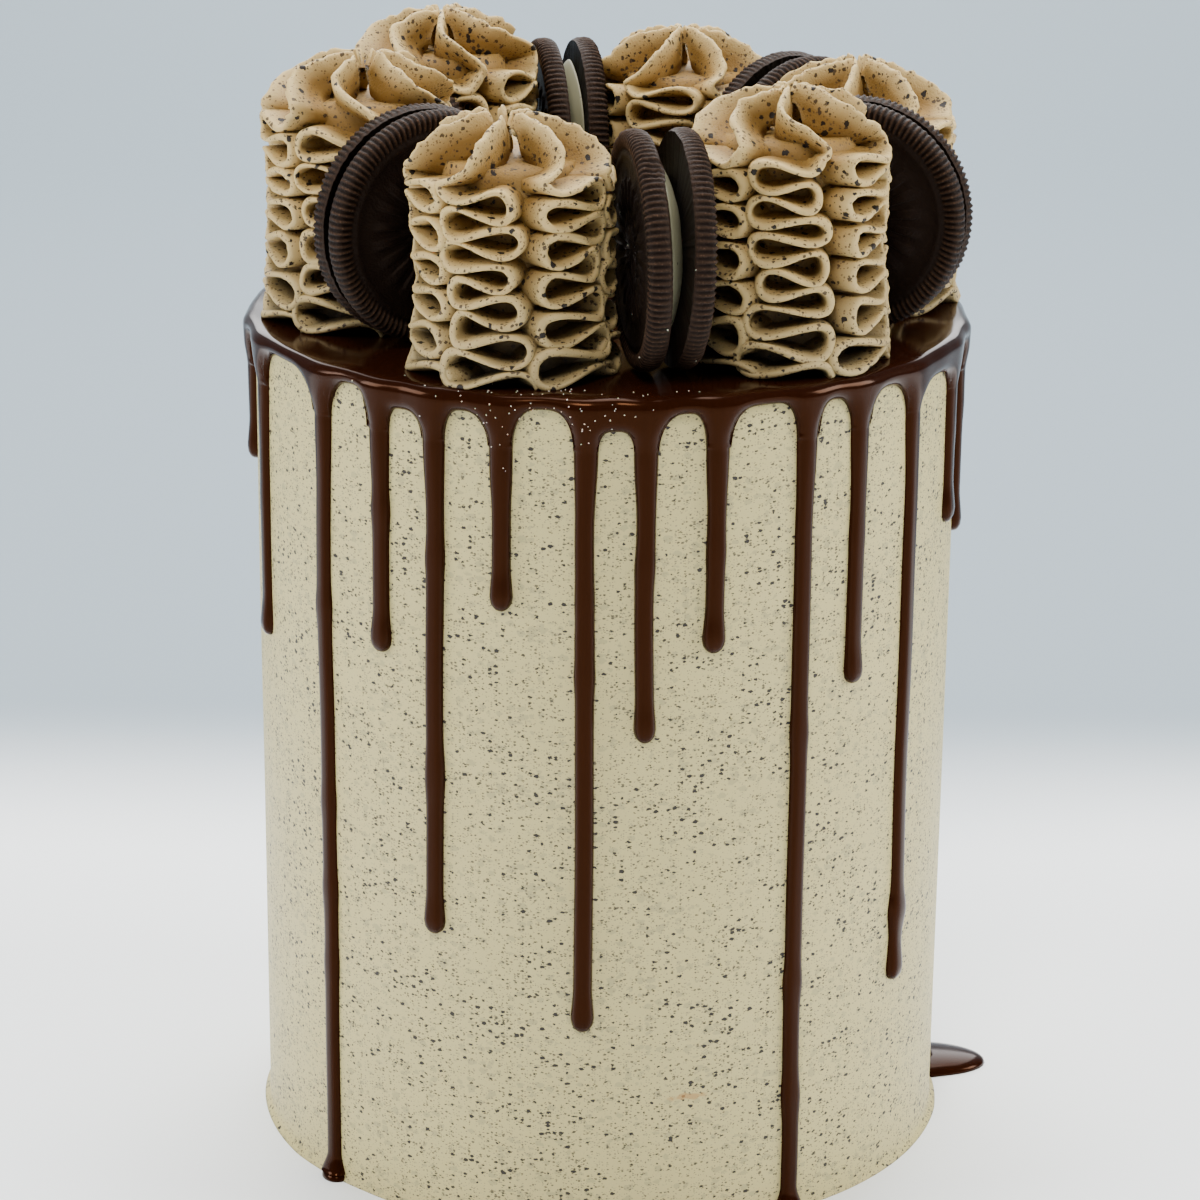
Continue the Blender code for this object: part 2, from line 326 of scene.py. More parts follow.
def frosting_material(cream, crumb, crumb_size):
    """Crumb-flecked buttercream, scraped smooth: satin, soft at the edges, with fine dark crumbs."""
    material, tree, shader = new_material(
        "scraped_buttercream", Roughness=0.5, IOR=1.46, Subsurface_Weight=0.12,
        Subsurface_Radius=(1.0, 0.7, 0.4), Subsurface_Scale=1.5 * MM)
    place = add_node(tree, "TexCoord").outputs["Object"]
    cloud = add_node(tree, "TexNoise", {"Vector": place, "Scale": 60.0, "Detail": 3.0})
    deeper = [part * 0.90 for part in linear(cream)[:3]] + [1.0]
    squashed = add_node(tree, "VectorMath", {0: place, 1: (1.0, 1.0, 1.5)}, operation="MULTIPLY")
    # The first layer is crumbs under the surface, which show as faint grey spots.
    crumbs = crumb_layers(tree, squashed, crumb_size, (
        (1.9, 0.8, 2.6, 0.34, "77755F"), (0.50, 0.80, 0.52, 0.7, "5C5648"),
        (0.75, 0.68, 0.78, 0.85, "3A332B"), (1.25, 0.46, 1.3, 1.0, crumb)))
    tone = layered(tree, linear(cream), (cloud, deeper), *crumbs,
                   (caramel_smear(tree, place), linear("A8763A")))
    # The scraper leaves faint level lines about 1 mm apart.
    level = add_node(tree, "VectorMath", {0: place, 1: (60.0, 60.0, 900.0)}, operation="MULTIPLY")
    lines = add_node(tree, "TexNoise", {"Vector": level, "Scale": 1.0, "Detail": 2.0})
    dress(tree, shader, tone, lines, 0.25, 0.05 * MM)
    return material


def glaze_material(chocolate):
    """Set chocolate ganache, poured: dark and wet-looking, with a clear shine."""
    material, tree, shader = new_material(
        "poured_ganache", IOR=1.46, Specular_IOR_Level=0.27, Specular_Tint=linear("C98A60"))
    place = add_node(tree, "TexCoord").outputs["Object"]
    upright = add_node(tree, "VectorMath", {0: place, 1: (1400.0, 1400.0, 25.0)}, operation="MULTIPLY")
    streak = add_node(tree, "TexNoise", {"Vector": upright, "Scale": 1.0, "Detail": 1.0})
    lighter = [part * 1.35 for part in linear(chocolate)[:3]] + [1.0]
    dress(tree, shader, layered(tree, linear(chocolate), (streak, lighter)))
    rough = add_node(tree, "MapRange", {"Value": streak, "To Min": 0.10, "To Max": 0.20})
    tree.links.new(rough.outputs[0], shader.inputs["Roughness"])
    return material


def swirl_material(buttercream, crumb):
    """Crumb-flecked buttercream, piped: matte, warm where light comes through a thin ruffle."""
    material, tree, shader = new_material(
        "piped_buttercream", Roughness=0.6, IOR=1.4, Subsurface_Weight=0.2,
        Subsurface_Radius=(1.0, 0.75, 0.4), Subsurface_Scale=1.4 * MM)
    place = add_node(tree, "TexCoord").outputs["Object"]
    cloud = add_node(tree, "TexNoise", {"Vector": place, "Scale": 140.0, "Detail": 3.0})
    deeper = [part * shade for part, shade in zip(linear(buttercream)[:3], (0.88, 0.84, 0.76))] + [1.0]
    height = add_node(tree, "SeparateXYZ", {"Vector": place}).outputs["Z"]
    # Painted shade: within 30 mm of the glaze the buttercream is painted darker and greyer, and its folds
    # darker still.
    low = add_node(tree, "MapRange", {"Value": height, "From Min": GLAZE_TOP + 30 * MM,
                                      "From Max": GLAZE_TOP})
    shaded = add_node(tree, "Math", {0: low, 1: 0.5}, operation="MULTIPLY")
    # Painted shade: the deeper a point lies in a fold, the darker it is painted, a warm brown in the crown
    # and near black at the foot.
    fold = add_node(tree, "Attribute", attribute_name="fold").outputs["Fac"]
    depth = add_node(tree, "MapRange", {"Value": fold, "From Min": 0.07, "From Max": 0.50, "To Max": 0.93})
    painted_fold_shade = layered(tree, linear("89682F"), (low, linear("241B0F")))
    crumbs = crumb_layers(tree, place, MM, (
        (0.6, 0.75, 0.36, 0.75, "5A4630"), (0.95, 0.62, 0.62, 0.9, "3A2C20"),
        (1.9, 0.46, 1.05, 1.0, crumb)))
    tone = layered(tree, linear(buttercream), (cloud, deeper), (shaded, linear("8C8060")),
                   (depth, painted_fold_shade), *crumbs)
    grit = add_node(tree, "TexNoise", {"Vector": place, "Scale": 2600.0, "Detail": 3.0})
    dress(tree, shader, tone, grit, 0.8, 0.2 * MM)
    return material


def wafer_material(cocoa_and_groove_shade):
    """Dark chocolate wafer, pressed and baked hard: dry, almost black, with a crumbly grain, and painted
    shade in its grooves and sunk middle.
    """
    material, tree, shader = new_material(
        "baked_cocoa_wafer", Roughness=0.6, IOR=1.45, Specular_IOR_Level=0.25,
        Specular_Tint=linear("D8BCA8"))
    place = add_node(tree, "TexCoord").outputs["Object"]
    grain = add_node(tree, "TexNoise", {"Vector": place, "Scale": 2200.0, "Detail": 4.0})
    lift = add_node(tree, "MapRange", {"Value": grain, "From Min": 0.55, "From Max": 0.8})
    # Painted shade: the grooves between the teeth and the whole sunk middle are painted near black; the tops
    # of the teeth keep the lighter grain.
    groove = add_node(tree, "Attribute", attribute_name="fold").outputs["Fac"]
    depth = add_node(tree, "MapRange", {"Value": groove, "From Min": 0.12, "From Max": 0.55})
    tone = layered(tree, linear("302219"), (lift, linear("5C4434")), (depth, linear(cocoa_and_groove_shade)))
    dress(tree, shader, tone, grain, 0.8, 0.25 * MM)
    return material


def filling_material(shaded_filling):
    """Cookie cream, pressed between the wafers: pale, smooth and a little waxy, but painted darker as shade
    between the wafers.
    """
    material, tree, shader = new_material(
        "pressed_filling", Roughness=0.5, IOR=1.46, Subsurface_Weight=0.15,
        Subsurface_Radius=(1.0, 0.8, 0.6), Subsurface_Scale=MM)
    place = add_node(tree, "TexCoord").outputs["Object"]
    crumbs = crumb_mask(tree, place, 1.4 * MM, 0.35, 0.35 * MM)
    dress(tree, shader, layered(tree, linear(shaded_filling), (crumbs, linear("4A4038"))))
    return material


def sugar_material(sugar):
    """Sugar crystals: white, with light in them and bright facets."""
    return new_material("sugar_crystals", Roughness=0.2, IOR=1.54, Base_Color=linear(sugar),
                        Subsurface_Weight=0.3, Subsurface_Scale=0.3 * MM)[0]


# The frosted side --------------------

EDGE_START = 166.5 * MM      # where the top edge begins to round in
FOOT_HEIGHT = 1.6 * MM       # how high the foot is smeared outwards
FOOT_REACH = 0.9 * MM
FOOT_ANGLES = (0, 40, 58, 80, 110, 250, 275, 300, 318, 360)   # degrees from the front
FOOT_SHARES = (0.1, 0.3, 1.0, 1.6, 0.4, 0.4, 1.3, 1.7, 0.4, 0.1)


def frosting_mesh(wave):
    """An upright cylinder with a soft top edge, a slightly uneven side and a foot smeared outwards."""
    columns = 360
    angle = np.linspace(0, 2 * math.pi, columns, endpoint=False)
    heights = np.concatenate([[0.0, 0.0003, 0.0008, FOOT_HEIGHT, 0.003], np.linspace(0.006, 0.160, 56),
                              [0.1635, EDGE_START]])
    foot = FOOT_REACH * np.interp(np.degrees(angle), FOOT_ANGLES, FOOT_SHARES)
    rows = []
    for height in heights:
        uneven = noise_at(np.sin(angle) * 1.4, np.cos(angle) * 1.4, height * 22)
        flare = foot * max(0.0, 1 - height / FOOT_HEIGHT) ** 2
        rows.append(on_cake(angle, CAKE_RADIUS + wave * uneven + flare, height))
    edge = CAKE_TOP - EDGE_START
    for turn in np.radians((20, 45, 70, 90)):
        rows.append(on_cake(angle, CAKE_RADIUS - edge * (1 - math.cos(turn)),
                            EDGE_START + edge * math.sin(turn)))
    return np.concatenate(rows), closed_tube(len(rows), columns)


# The glaze --------------------

# Drips as (angle in degrees, length in mm below the glaze's top); those at 169 reach the base.
DRIPS_SHOWN = (
    (-102, 122), (-84, 30), (-71, 62), (-49.5, 169), (-37, 54), (-27, 109), (-16, 42), (-3, 126),
    (6, 67), (17, 50), (32, 169), (42.5, 61), (56, 128), (72.5, 38), (84, 44), (98, 169),
)
DRIPS_BEHIND = 12
BEHIND_LENGTHS = (36, 130)   # mm, shortest and longest
ARCH_TOPS = (3.5, 3.0, 2.9, 3.0, 5.7, 4.3, 2.9, 6.7, 3.6, 3.0, 4.0, 4.0, 5.7, 4.0, 4.5)   # mm down
MOUTH_DEPTH = 10.5 * MM      # where a drip's sides take over from the arches
MOUTH_HALF = 2.3 * MM
EDGE_SUNK = 0.16 * MM        # how far the glaze's edge lies under the frosting's face
MENISCUS = 2.5 * MM          # how far in from its edge the glaze reaches full thickness
RIM_ROUND = 2.2 * MM
HEAD_WIDTH = 4.5 * MM        # over a drip the rim swells this far to each side
HEAD_BULGE = 0.55 * MM
RIM_OUT = 2.0 * MM           # how far the rim stands off the frosting
LUMPS = 0.30 * MM            # how uneven the rim is
RIPPLE = 0.12 * MM           # how uneven the top is
EMBED = 0.25 * MM            # how far the glaze's back lies in the frosting
# Pools at the feet of drips, as (angle in degrees; reach, half width and height in mm).
POOLS = ((-49.5, 3.2, 3.4, 1.9), (32, 3.0, 3.2, 1.8), (98, 13.0, 9.0, 2.6))
DRIP_ACROSS = np.sin(np.linspace(-math.pi / 2, math.pi / 2, 17))   # across a drip, closer at its edges
LAP = 2 * math.pi * CAKE_RADIUS


def all_drips():
    """Every drip as (angle, length in metres), in order round the cake from the left."""
    chance = random.Random(11)
    drips = [(angle, length * MM) for angle, length in DRIPS_SHOWN]
    first = DRIPS_SHOWN[-1][0]
    room = 360 - (first - DRIPS_SHOWN[0][0])
    for i in range(DRIPS_BEHIND):
        angle = first + room * (i + 1 + chance.uniform(-0.2, 0.2)) / (DRIPS_BEHIND + 1)
        drips.append((angle, chance.uniform(*BEHIND_LENGTHS) * MM))
    return drips


def glaze_arches(drips):
    """Arches between the drips, as (distance round the side, depth) curves from mouth to mouth."""
    chance = random.Random(5)
    arches = []
    for number, (angle, _) in enumerate(drips):
        following = drips[(number + 1) % len(drips)][0]
        if following < angle:
            following += 360
        start = math.radians(angle) * CAKE_RADIUS + MOUTH_HALF
        end = math.radians(following) * CAKE_RADIUS - MOUTH_HALF
        top = (ARCH_TOPS[number] if number < len(ARCH_TOPS) else chance.uniform(2.9, 5.6)) * MM
        skew = chance.uniform(-0.2, 0.2)
        blunt = chance.uniform(1.3, 2.0)
        across = 0.5 - 0.5 * np.cos(np.linspace(0, math.pi, 25))
        middle = 2 * across - 1
        middle = middle + skew * (1 - middle ** 2)
        rise = np.sqrt(np.clip(1 - np.abs(middle) ** (2 * blunt), 0, 1))
        arches.append((start + across * (end - start), MOUTH_DEPTH + (top - MOUTH_DEPTH) * rise))
    return arches


def lower_edge(drips, arches):
    """The sheet's lower edge, round and down, and where in it each drip's mouth begins."""
    around, depth, mouths = [], [], []
    for (angle, _), (arch_around, arch_depth) in zip(drips, arches):
        mouths.append(len(around))
        around.extend(math.radians(angle) * CAKE_RADIUS + DRIP_ACROSS * MOUTH_HALF)
        around.extend(arch_around[1:-1])
        depth.extend([MOUTH_DEPTH] * len(DRIP_ACROSS))
        depth.extend(arch_depth[1:-1])
    return np.array(around), np.array(depth), mouths


def thin_edges(drips, arches):
    """Points where the glaze thins out to nothing: along the arches and down beside each drip."""
    beside = np.linspace(MOUTH_DEPTH, MOUTH_DEPTH + 6 * MM, 13)
    sides = [math.radians(angle) * CAKE_RADIUS + side * MOUTH_HALF
             for angle, _ in drips for side in (-1, 1)]
    around = np.concatenate([arch[0] for arch in arches] + [np.full(13, side) for side in sides])
    depth = np.concatenate([arch[1] for arch in arches] + [beside] * len(sides))
    return np.concatenate([around - LAP, around, around + LAP]), np.tile(depth, 3)


def swell_at(around, depth, edges):
    """How far the glaze has risen to full thickness, from its distance to the thin edges."""
    gap = np.hypot(around[:, None] - edges[0], depth[:, None] - edges[1]).min(axis=1)
    return np.sqrt(1 - (1 - np.clip(gap / MENISCUS, 0, 1)) ** 2)


def sheet_rows(drips, around, depth, edges, drip_thick):
    """Rows of vertices from inside the top, over the rolled rim and down to the lower edge."""
    angle = around / CAKE_RADIUS
    wobble = noise_at(np.sin(angle) * 5, np.cos(angle) * 5, 2.0)
    heads = np.radians([place for place, _ in drips]) * CAKE_RADIUS
    aside = (around[:, None] - heads + LAP / 2) % LAP - LAP / 2
    lumps = LUMPS * wobble + HEAD_BULGE * (np.exp(-(aside / HEAD_WIDTH) ** 2).max(axis=1) - 0.3)
    rows = []
    for inset in (24, 14, 8, 5):
        rows.append(on_cake(angle, CAKE_RADIUS + RIM_OUT - inset * MM,
                            GLAZE_TOP - 0.10 * MM + RIPPLE * wobble))
    for turn in np.radians(np.linspace(0, 90, 7)):
        drop = RIM_ROUND * (1 - math.cos(turn))
        swell = swell_at(around, np.full(len(around), drop), edges)
        radius = CAKE_RADIUS + RIM_OUT - RIM_ROUND + (RIM_ROUND + lumps) * math.sin(turn)
        radius -= (1 - swell) * RIM_OUT * math.sin(turn) ** 2
        rows.append(on_cake(angle, radius, GLAZE_TOP - drop + RIPPLE * wobble * math.cos(turn)))
    steps = 14
    for step in range(1, steps + 1):
        here = RIM_ROUND + (depth - RIM_ROUND) * (1 - (1 - step / steps) ** 1.6)
        calm = 1 - smoothstep(MOUTH_DEPTH - 5 * MM, MOUTH_DEPTH, here)
        thick = np.interp(here, (RIM_ROUND, MOUTH_DEPTH), (RIM_OUT, drip_thick)) + lumps * calm + EDGE_SUNK
        rows.append(on_cake(angle, CAKE_RADIUS - EDGE_SUNK + thick * swell_at(around, here, edges),
                            GLAZE_TOP - here))
    return rows


def drip_sections(length, drip_half, drip_thick, chance):
    """Depth, shift aside, half width, thickness and share of full form at each section of a drip."""
    reach = min(length, GLAZE_TOP - 0.1 * MM)
    to_base = length > GLAZE_TOP - MM
    bulb = drip_half * chance.uniform(1.12, 1.28)
    first = MOUTH_DEPTH + 0.7 * MM
    if to_base:
        at = np.arange(first, reach, 1.0 * MM)
    else:
        rounding = 1 - np.sin(np.radians((0, 25, 45, 60, 72, 81, 87)))
        at = np.concatenate([np.arange(first, reach - 1.4 * bulb, 1.1 * MM), reach - 1.25 * bulb * rounding])
    beads = [(chance.uniform(0.25, 0.9), chance.uniform(0.05, 0.2)) for _ in range(int(length / 0.035))]
    shift = 0.35 * MM * wander(at * 28, chance.uniform(0, 100))
    shift = shift * smoothstep(MOUTH_DEPTH, MOUTH_DEPTH + 20 * MM, at)
    neck = smoothstep(MOUTH_DEPTH, MOUTH_DEPTH + 14 * MM, at)
    half = MOUTH_HALF + (drip_half - MOUTH_HALF) * neck
    thick = drip_thick * (1 - 0.10 * neck)
    for place, more in beads:
        bump = more * np.exp(-((at - place * length) / (3.2 * MM)) ** 2) * neck
        half = half * (1 + bump)
        thick = thick * (1 + 0.8 * bump)
    if to_base:
        spread = smoothstep(reach - 5 * MM, reach, at)
        return at, shift, half * (1 + 0.7 * spread), thick * (1 + 0.9 * spread), neck
    swollen = smoothstep(reach - 9 * MM, reach - 2 * MM, at)
    beyond = np.maximum(1 - (reach - at) / (1.25 * bulb), 0)
    close = np.sqrt(np.maximum(1e-4, 1 - beyond ** 2))
    half = (half + (bulb - drip_half) * swollen) * close
    return at, shift, half, thick * (1 + 0.35 * swollen) * close ** 0.8, neck


def drip_loft(middle, sections, start, mouth, behind):
    """A drip's rings, each with two points behind it, and the faces that hang them from a mouth."""
    verts, faces = [], []
    wide = len(DRIP_ACROSS)
    upper, upper_back = mouth, [behind[0], behind[-1]]
    for number, (at, shift, half, thick, neck) in enumerate(zip(*sections)):
        around = (middle + shift + DRIP_ACROSS * half) / CAKE_RADIUS
        crown = np.sqrt(np.clip(1 - np.abs(DRIP_ACROSS) ** (2.0 + 1.2 * neck), 0, 1))
        lift = (thick + EDGE_SUNK) * crown - EDGE_SUNK
        verts.append(on_cake(around, CAKE_RADIUS + lift, GLAZE_TOP - at))
        verts.append(on_cake(around[[0, -1]], CAKE_RADIUS - EMBED, GLAZE_TOP - at))
        first = start + number * (wide + 2)
        lower = list(range(first, first + wide))
        lower_back = [first + wide, first + wide + 1]
        faces += [[upper[i], lower[i], lower[i + 1], upper[i + 1]] for i in range(wide - 1)]
        faces.append([upper_back[0], lower_back[0], lower[0], upper[0]])
        faces.append([upper[-1], lower[-1], lower_back[1], upper_back[1]])
        if number:
            faces.append([upper_back[1], lower_back[1], lower_back[0], upper_back[0]])
        else:
            faces.append([lower_back[0], *behind, lower_back[1]])
        upper, upper_back = lower, lower_back
    faces.append(upper + upper_back[::-1])
    return np.concatenate(verts), faces


def glaze_mesh(drip_half, drip_thick):
    """The poured sheet with its arches, closed behind, and a loft for every drip."""
    drips = all_drips()
    arches = glaze_arches(drips)
    around, depth, mouths = lower_edge(drips, arches)
    rows = sheet_rows(drips, around, depth, thin_edges(drips, arches), drip_thick)
    columns = len(around)
    faces = flipped(tube_faces(len(rows), columns)) + [list(range(columns))]
    lower = (len(rows) - 1) * columns
    # The back: a point behind each column of the lower edge, and one up at the cake's shoulder.
    back = lower + columns
    rows.append(on_cake(around / CAKE_RADIUS, CAKE_RADIUS - EMBED, GLAZE_TOP - depth))
    rows.append(on_cake(around / CAKE_RADIUS, CAKE_RADIUS - EMBED, CAKE_TOP - 1.6 * MM))
    wide = len(DRIP_ACROSS)
    open_below = {mouth + i for mouth in mouths for i in range(wide - 1)}
    for i in range(columns):
        j = (i + 1) % columns
        faces.append([back + j, back + columns + j, back + columns + i, back + i])
        if i not in open_below:
            faces.append([back + i, back + j, lower + j, lower + i])
    faces.append([back + columns + i for i in range(columns)][::-1])
    verts = np.concatenate(rows)
    chance = random.Random(23)
    for (angle, length), mouth in zip(drips, mouths):
        sections = drip_sections(length, drip_half, drip_thick, chance)
        more, more_faces = drip_loft(math.radians(angle) * CAKE_RADIUS, sections, len(verts),
                                     range(lower + mouth, lower + mouth + wide),
                                     range(back + mouth, back + mouth + wide))
        verts = np.concatenate([verts, more])
        faces += more_faces
    return verts, faces


def pool_mesh(angle, reach, half, tall):
    """A flat pool of glaze at the foot of a drip that ran down to the base."""
    rings, segments = 10, 40
    turn = np.linspace(0, 2 * math.pi, segments, endpoint=False)
    outward = np.array([math.sin(angle), -math.cos(angle), 0])
    aside = np.array([math.cos(angle), math.sin(angle), 0])
    middle = outward * (CAKE_RADIUS - 0.5 * MM)
    edge = 1 + 0.10 * np.sin(2 * turn + 1) + 0.06 * np.sin(3 * turn + angle * 9)
    rows = []
    for slope in np.radians(90 * np.arange(1, rings + 1) / rings):
        out = np.cos(turn) * math.sin(slope) * reach * edge
        side = np.sin(turn) * math.sin(slope) * half * edge
        high = tall * max(math.cos(slope), 0.0) ** 0.8 + 0.02 * MM
        rows.append(middle + outward * out[:, None] + aside * side[:, None] + (0, 0, high))
    return np.concatenate(rows), flipped(closed_tube(rings, segments))


# The swirls --------------------

SWIRL_REACH = 19.6 * MM      # widest radius, pressed against the cookies beside it
SWIRL_SUNK = 0.3 * MM        # how far a swirl's foot lies in the glaze
DOME = 12.5 * MM             # height over which the crown closes
FIN_DEPTHS = (9.0, 6.8, 5.0, 3.5, 2.3, 1.35)   # mm in from a ruffle's edge
FIRST_RIBS = (-17, -1, -13, -20, 5, -13)                # degrees from the front, a swirl each
RIB_SHIFTS = (0, 8, 5, 2, 0, -1, 0)                     # how far each rib strays from even spacing
CORE_SUNK = 6.8 * MM         # how deep the solid core lies under the ruffles' edges
COLUMN_PART = 0.655          # share of the outline's length that is ruffled, foot to crown
RUFFLE_STEPS = 44            # points along one ruffle
THROW = 0.38                 # radians that a ruffle swings to each side of its rib
OVERTURN = 0.25              # how far a bend folds over, in heights of a ruffle
TIP_LOSS = (0.3, 4.5)        # mm, how far short of the tip a rib may end


def swirl_outline(reach, height):
    """The curve that a swirl's ruffles touch, foot to tip: arc length, radius, height and slope."""
    straight = np.linspace(0, height - DOME, 200)
    part = straight / (height - DOME)
    turn = np.linspace(0, math.pi / 2, 301)[1:]
    radius = np.concatenate([reach * (1 + 0.035 * (1 - part) ** 3 - 0.035 * np.sin(math.pi * part)),
                             reach * np.cos(turn)])
    radius = np.maximum(radius, 0.5 * MM)
    high = np.concatenate([straight, height - DOME + DOME * np.sin(turn)])
    length = np.concatenate([[0], np.hypot(np.diff(radius), np.diff(high))])
    arc = np.cumsum(length)
    step_r = np.gradient(radius, arc)
    step_z = np.gradient(high, arc)
    size = np.hypot(step_r, step_z)
    return arc, radius, high, step_r / size, step_z / size


def rib_path(total, fold, chance):
    """How one rib's edge runs: its angle aside and its place up the outline, per step."""
    start = math.pi / 2
    turns = COLUMN_PART * total / fold
    end = start + 2 * math.pi * turns
    end = (math.floor((end - math.pi / 2) / math.pi + 0.5)) * math.pi + math.pi / 2
    crown = 0.95 * math.pi
    phase = np.arange(start, end + crown, 2 * math.pi / RUFFLE_STEPS)
    seed = chance.uniform(0, 100)
    even = np.clip((phase - start) / (end - start), 0, 1)
    speed = 1 + 0.28 * np.exp(-(phase - start) / 5) + 0.17 * wander(phase * 0.35, seed)
    column = speed[phase < end].sum()
    left = phase[phase >= end]
    ramp = smoothstep(end - 0.6, end + 1.2, left)
    rest = (1 - COLUMN_PART) / COLUMN_PART * column
    speed[phase >= end] = 1 + ramp * (rest - len(left)) / ramp.sum()
    mean = np.cumsum(speed)
    tip = total - chance.uniform(*TIP_LOSS) * MM
    mean = (mean - mean[0]) / (mean[-1] - mean[0]) * tip
    ending = 1 - smoothstep(end - 0.9, end + 0.7, phase)
    throw = THROW * (1 + 0.16 * wander(phase * 0.31, seed + 9) + 0.36 * (1 - even) ** 5)
    sweep = np.clip((phase - end) / crown, 0, 1)
    over = chance.uniform(0.05, 0.3)
    swing = np.where(phase < end, np.sin(phase),
                     np.sin(end) * (1 - (1 + over) * smoothstep(0.0, 0.62, sweep)))
    swing = swing + chance.uniform(0.25, 0.5) * np.sin(2.4 * math.pi * sweep) * (1 - sweep)
    aside = throw * swing + 0.04 * wander(phase * 0.13, seed + 17)
    overturn = OVERTURN * fold * (1 + 0.35 * (1 - even) ** 4) * (1 + 0.24 * wander(phase * 0.4, seed + 31))
    return phase, mean, aside, overturn * ending, ending, seed


def swirl_mesh(number, foot, height, fold, sheet, ribs):
    """All ribs of a swirl, each a thin sheet thrown into ruffles, round a solid core."""
    chance = random.Random(40 + number)
    arc, radius, high, slope_r, slope_z = swirl_outline(SWIRL_REACH, height)
    total = arc[-1]
    lean = np.array([chance.uniform(-2.4, 0.5), chance.uniform(-1.0, 1.0), 0]) * MM
    edge_half = sheet / 2
    bends = np.linspace(0, math.pi, 7)
    fin = np.array(FIN_DEPTHS) * MM
    depths = np.concatenate([fin, edge_half * (1 - np.sin(bends)), fin[::-1]])
    sides = np.concatenate([np.ones(len(fin)), np.cos(bends), -np.ones(len(fin))])
    deepest = depths.max()
    verts, faces, count = [], [], 0
    for rib in range(ribs):
        phase, mean, aside, overturn, ending, seed = rib_path(total, fold, chance)
        strayed = RIB_SHIFTS[rib % len(RIB_SHIFTS)]
        base_turn = math.radians(FIRST_RIBS[number - 1] + 360 / ribs * rib + strayed)
        edge_u = np.clip(mean - overturn * np.sin(2 * phase), edge_half * 0.9, total)
        edge_radius = np.interp(edge_u, arc, radius)
        across = np.gradient(aside) * edge_radius
        along = np.gradient(edge_u)
        run = np.hypot(across, along) + 1e-9
        normal_x, normal_u = -along / run, across / run
        wobble = wander(phase * 0.7, seed + 3)
        fine = wander(phase * 4.0, seed + 5) + 0.6 * wander(phase * 11.0, seed + 7)
        ragged = (0.12 + 0.33 * (1 - ending)) * MM
        # A sheet is fatter where it bends back, and uneven all along.
        fatter = 0.9 + 0.30 * np.abs(np.sin(phase)) ** 3 * ending + 0.22 * wander(phase * 0.9, seed + 43)
        rows = []
        for depth, side in zip(depths, sides):
            deep = smoothstep(1.5 * MM, deepest, depth)
            calm = 1 - 0.5 * depth / deepest
            u = np.clip(mean - overturn * calm * np.sin(2 * phase), edge_half * 0.9, total)
            r_out = np.interp(u, arc, radius)
            m_r = np.interp(u, arc, slope_r)
            m_z = np.interp(u, arc, slope_z)
            sink = depth - (0.35 * MM * wobble + ragged * fine) * (1 - deep)
            sink = sink + 0.5 * MM * np.abs(np.sin(phase)) ** 4 * ending
            sink = np.minimum(sink, 0.93 * np.maximum(r_out, 4 * MM))
            inward = np.clip(m_z + 0.35 * (1 - m_z), 0.35, 1)
            r = np.maximum(r_out - sink * inward, 0.25 * MM)
            z = np.interp(u, arc, high) - sink * np.sqrt(1 - inward ** 2) * 0.9
            half = edge_half + 0.105 * max(0.0, depth - edge_half)
            half = half * side * fatter * np.clip(0.5 + 0.5 * r_out / (8 * MM), 0.5, 1)
            turn = base_turn + aside * np.clip(r_out / r, 1, 1.75) ** 0.75
            place = on_cake(turn, r, z)
            tangent = np.stack([np.cos(turn), np.sin(turn), 0 * turn], axis=-1)
            upward = on_cake(turn, m_r, m_z)
            place = place + tangent * (half * normal_x)[:, None] + upward * (half * normal_u)[:, None]
            rows.append(place)
        block = np.stack(rows, axis=1)
        block[..., 2] = np.maximum(block[..., 2], 0.0)
        steps, ring = block.shape[:2]
        verts.append(block.reshape(-1, 3))
        faces.extend(closed_tube(steps, ring, count))
        count += steps * ring
    core_turn = np.linspace(0, 2 * math.pi, 40, endpoint=False)
    for z in np.linspace(0, height - 9 * MM, 24):
        verts.append(on_cake(core_turn, max(np.interp(z, high, radius) - CORE_SUNK, 0.6 * MM), z))
    faces.extend(closed_tube(24, 40, count))
    verts = np.concatenate(verts)
    share = np.clip(verts[:, 2:3] / height, 0, 1)
    # Fold depth for the painted shade: near 0 at a ruffle's edge, 1 deepest in, and 1 over the whole core.
    fold = np.ones(len(verts))
    fold[:count] = np.tile(depths / deepest, count // len(depths))
    return verts + lean * share ** 2 + foot, faces, fold


# The sandwich cookies --------------------

WAFER_RADIUS = 22.4 * MM
WAFER_THICK = 4.6 * MM
CHIPS = {"cookie_1_wafer_b": 318}   # degrees round a wafer's rim at which its edge has crumbled
BARS = 22                    # short raised bars in a ring on a wafer's sunk middle
BARS_FROM, BARS_TO = 9, 14   # mm in from the wafer's edge
FILLING_THICK = 2.2 * MM
FILLING_RADIUS = 18.2 * MM
FILLING_SLANT = 4.5 * MM     # how much further it reaches along the one wafer than the other


def disc_pose(name):
    """Centre and axis of a round node, from its vertices."""
    points = node_points(name)
    centre = (points.max(axis=0) + points.min(axis=0)) / 2
    spread = points - points.mean(axis=0)
    _, _, axes = np.linalg.svd(spread, full_matrices=False)
    return centre, axes[2]


def facing(axis, towards):
    """Rows of a frame whose third axis is the given one, turned to point the way asked."""
    axis = axis if axis @ towards > 0 else -axis
    up = np.array([0.0, 0.0, 1.0]) - axis * axis[2]
    up = up / np.linalg.norm(up)
    return np.stack([up, np.cross(axis, up), axis])


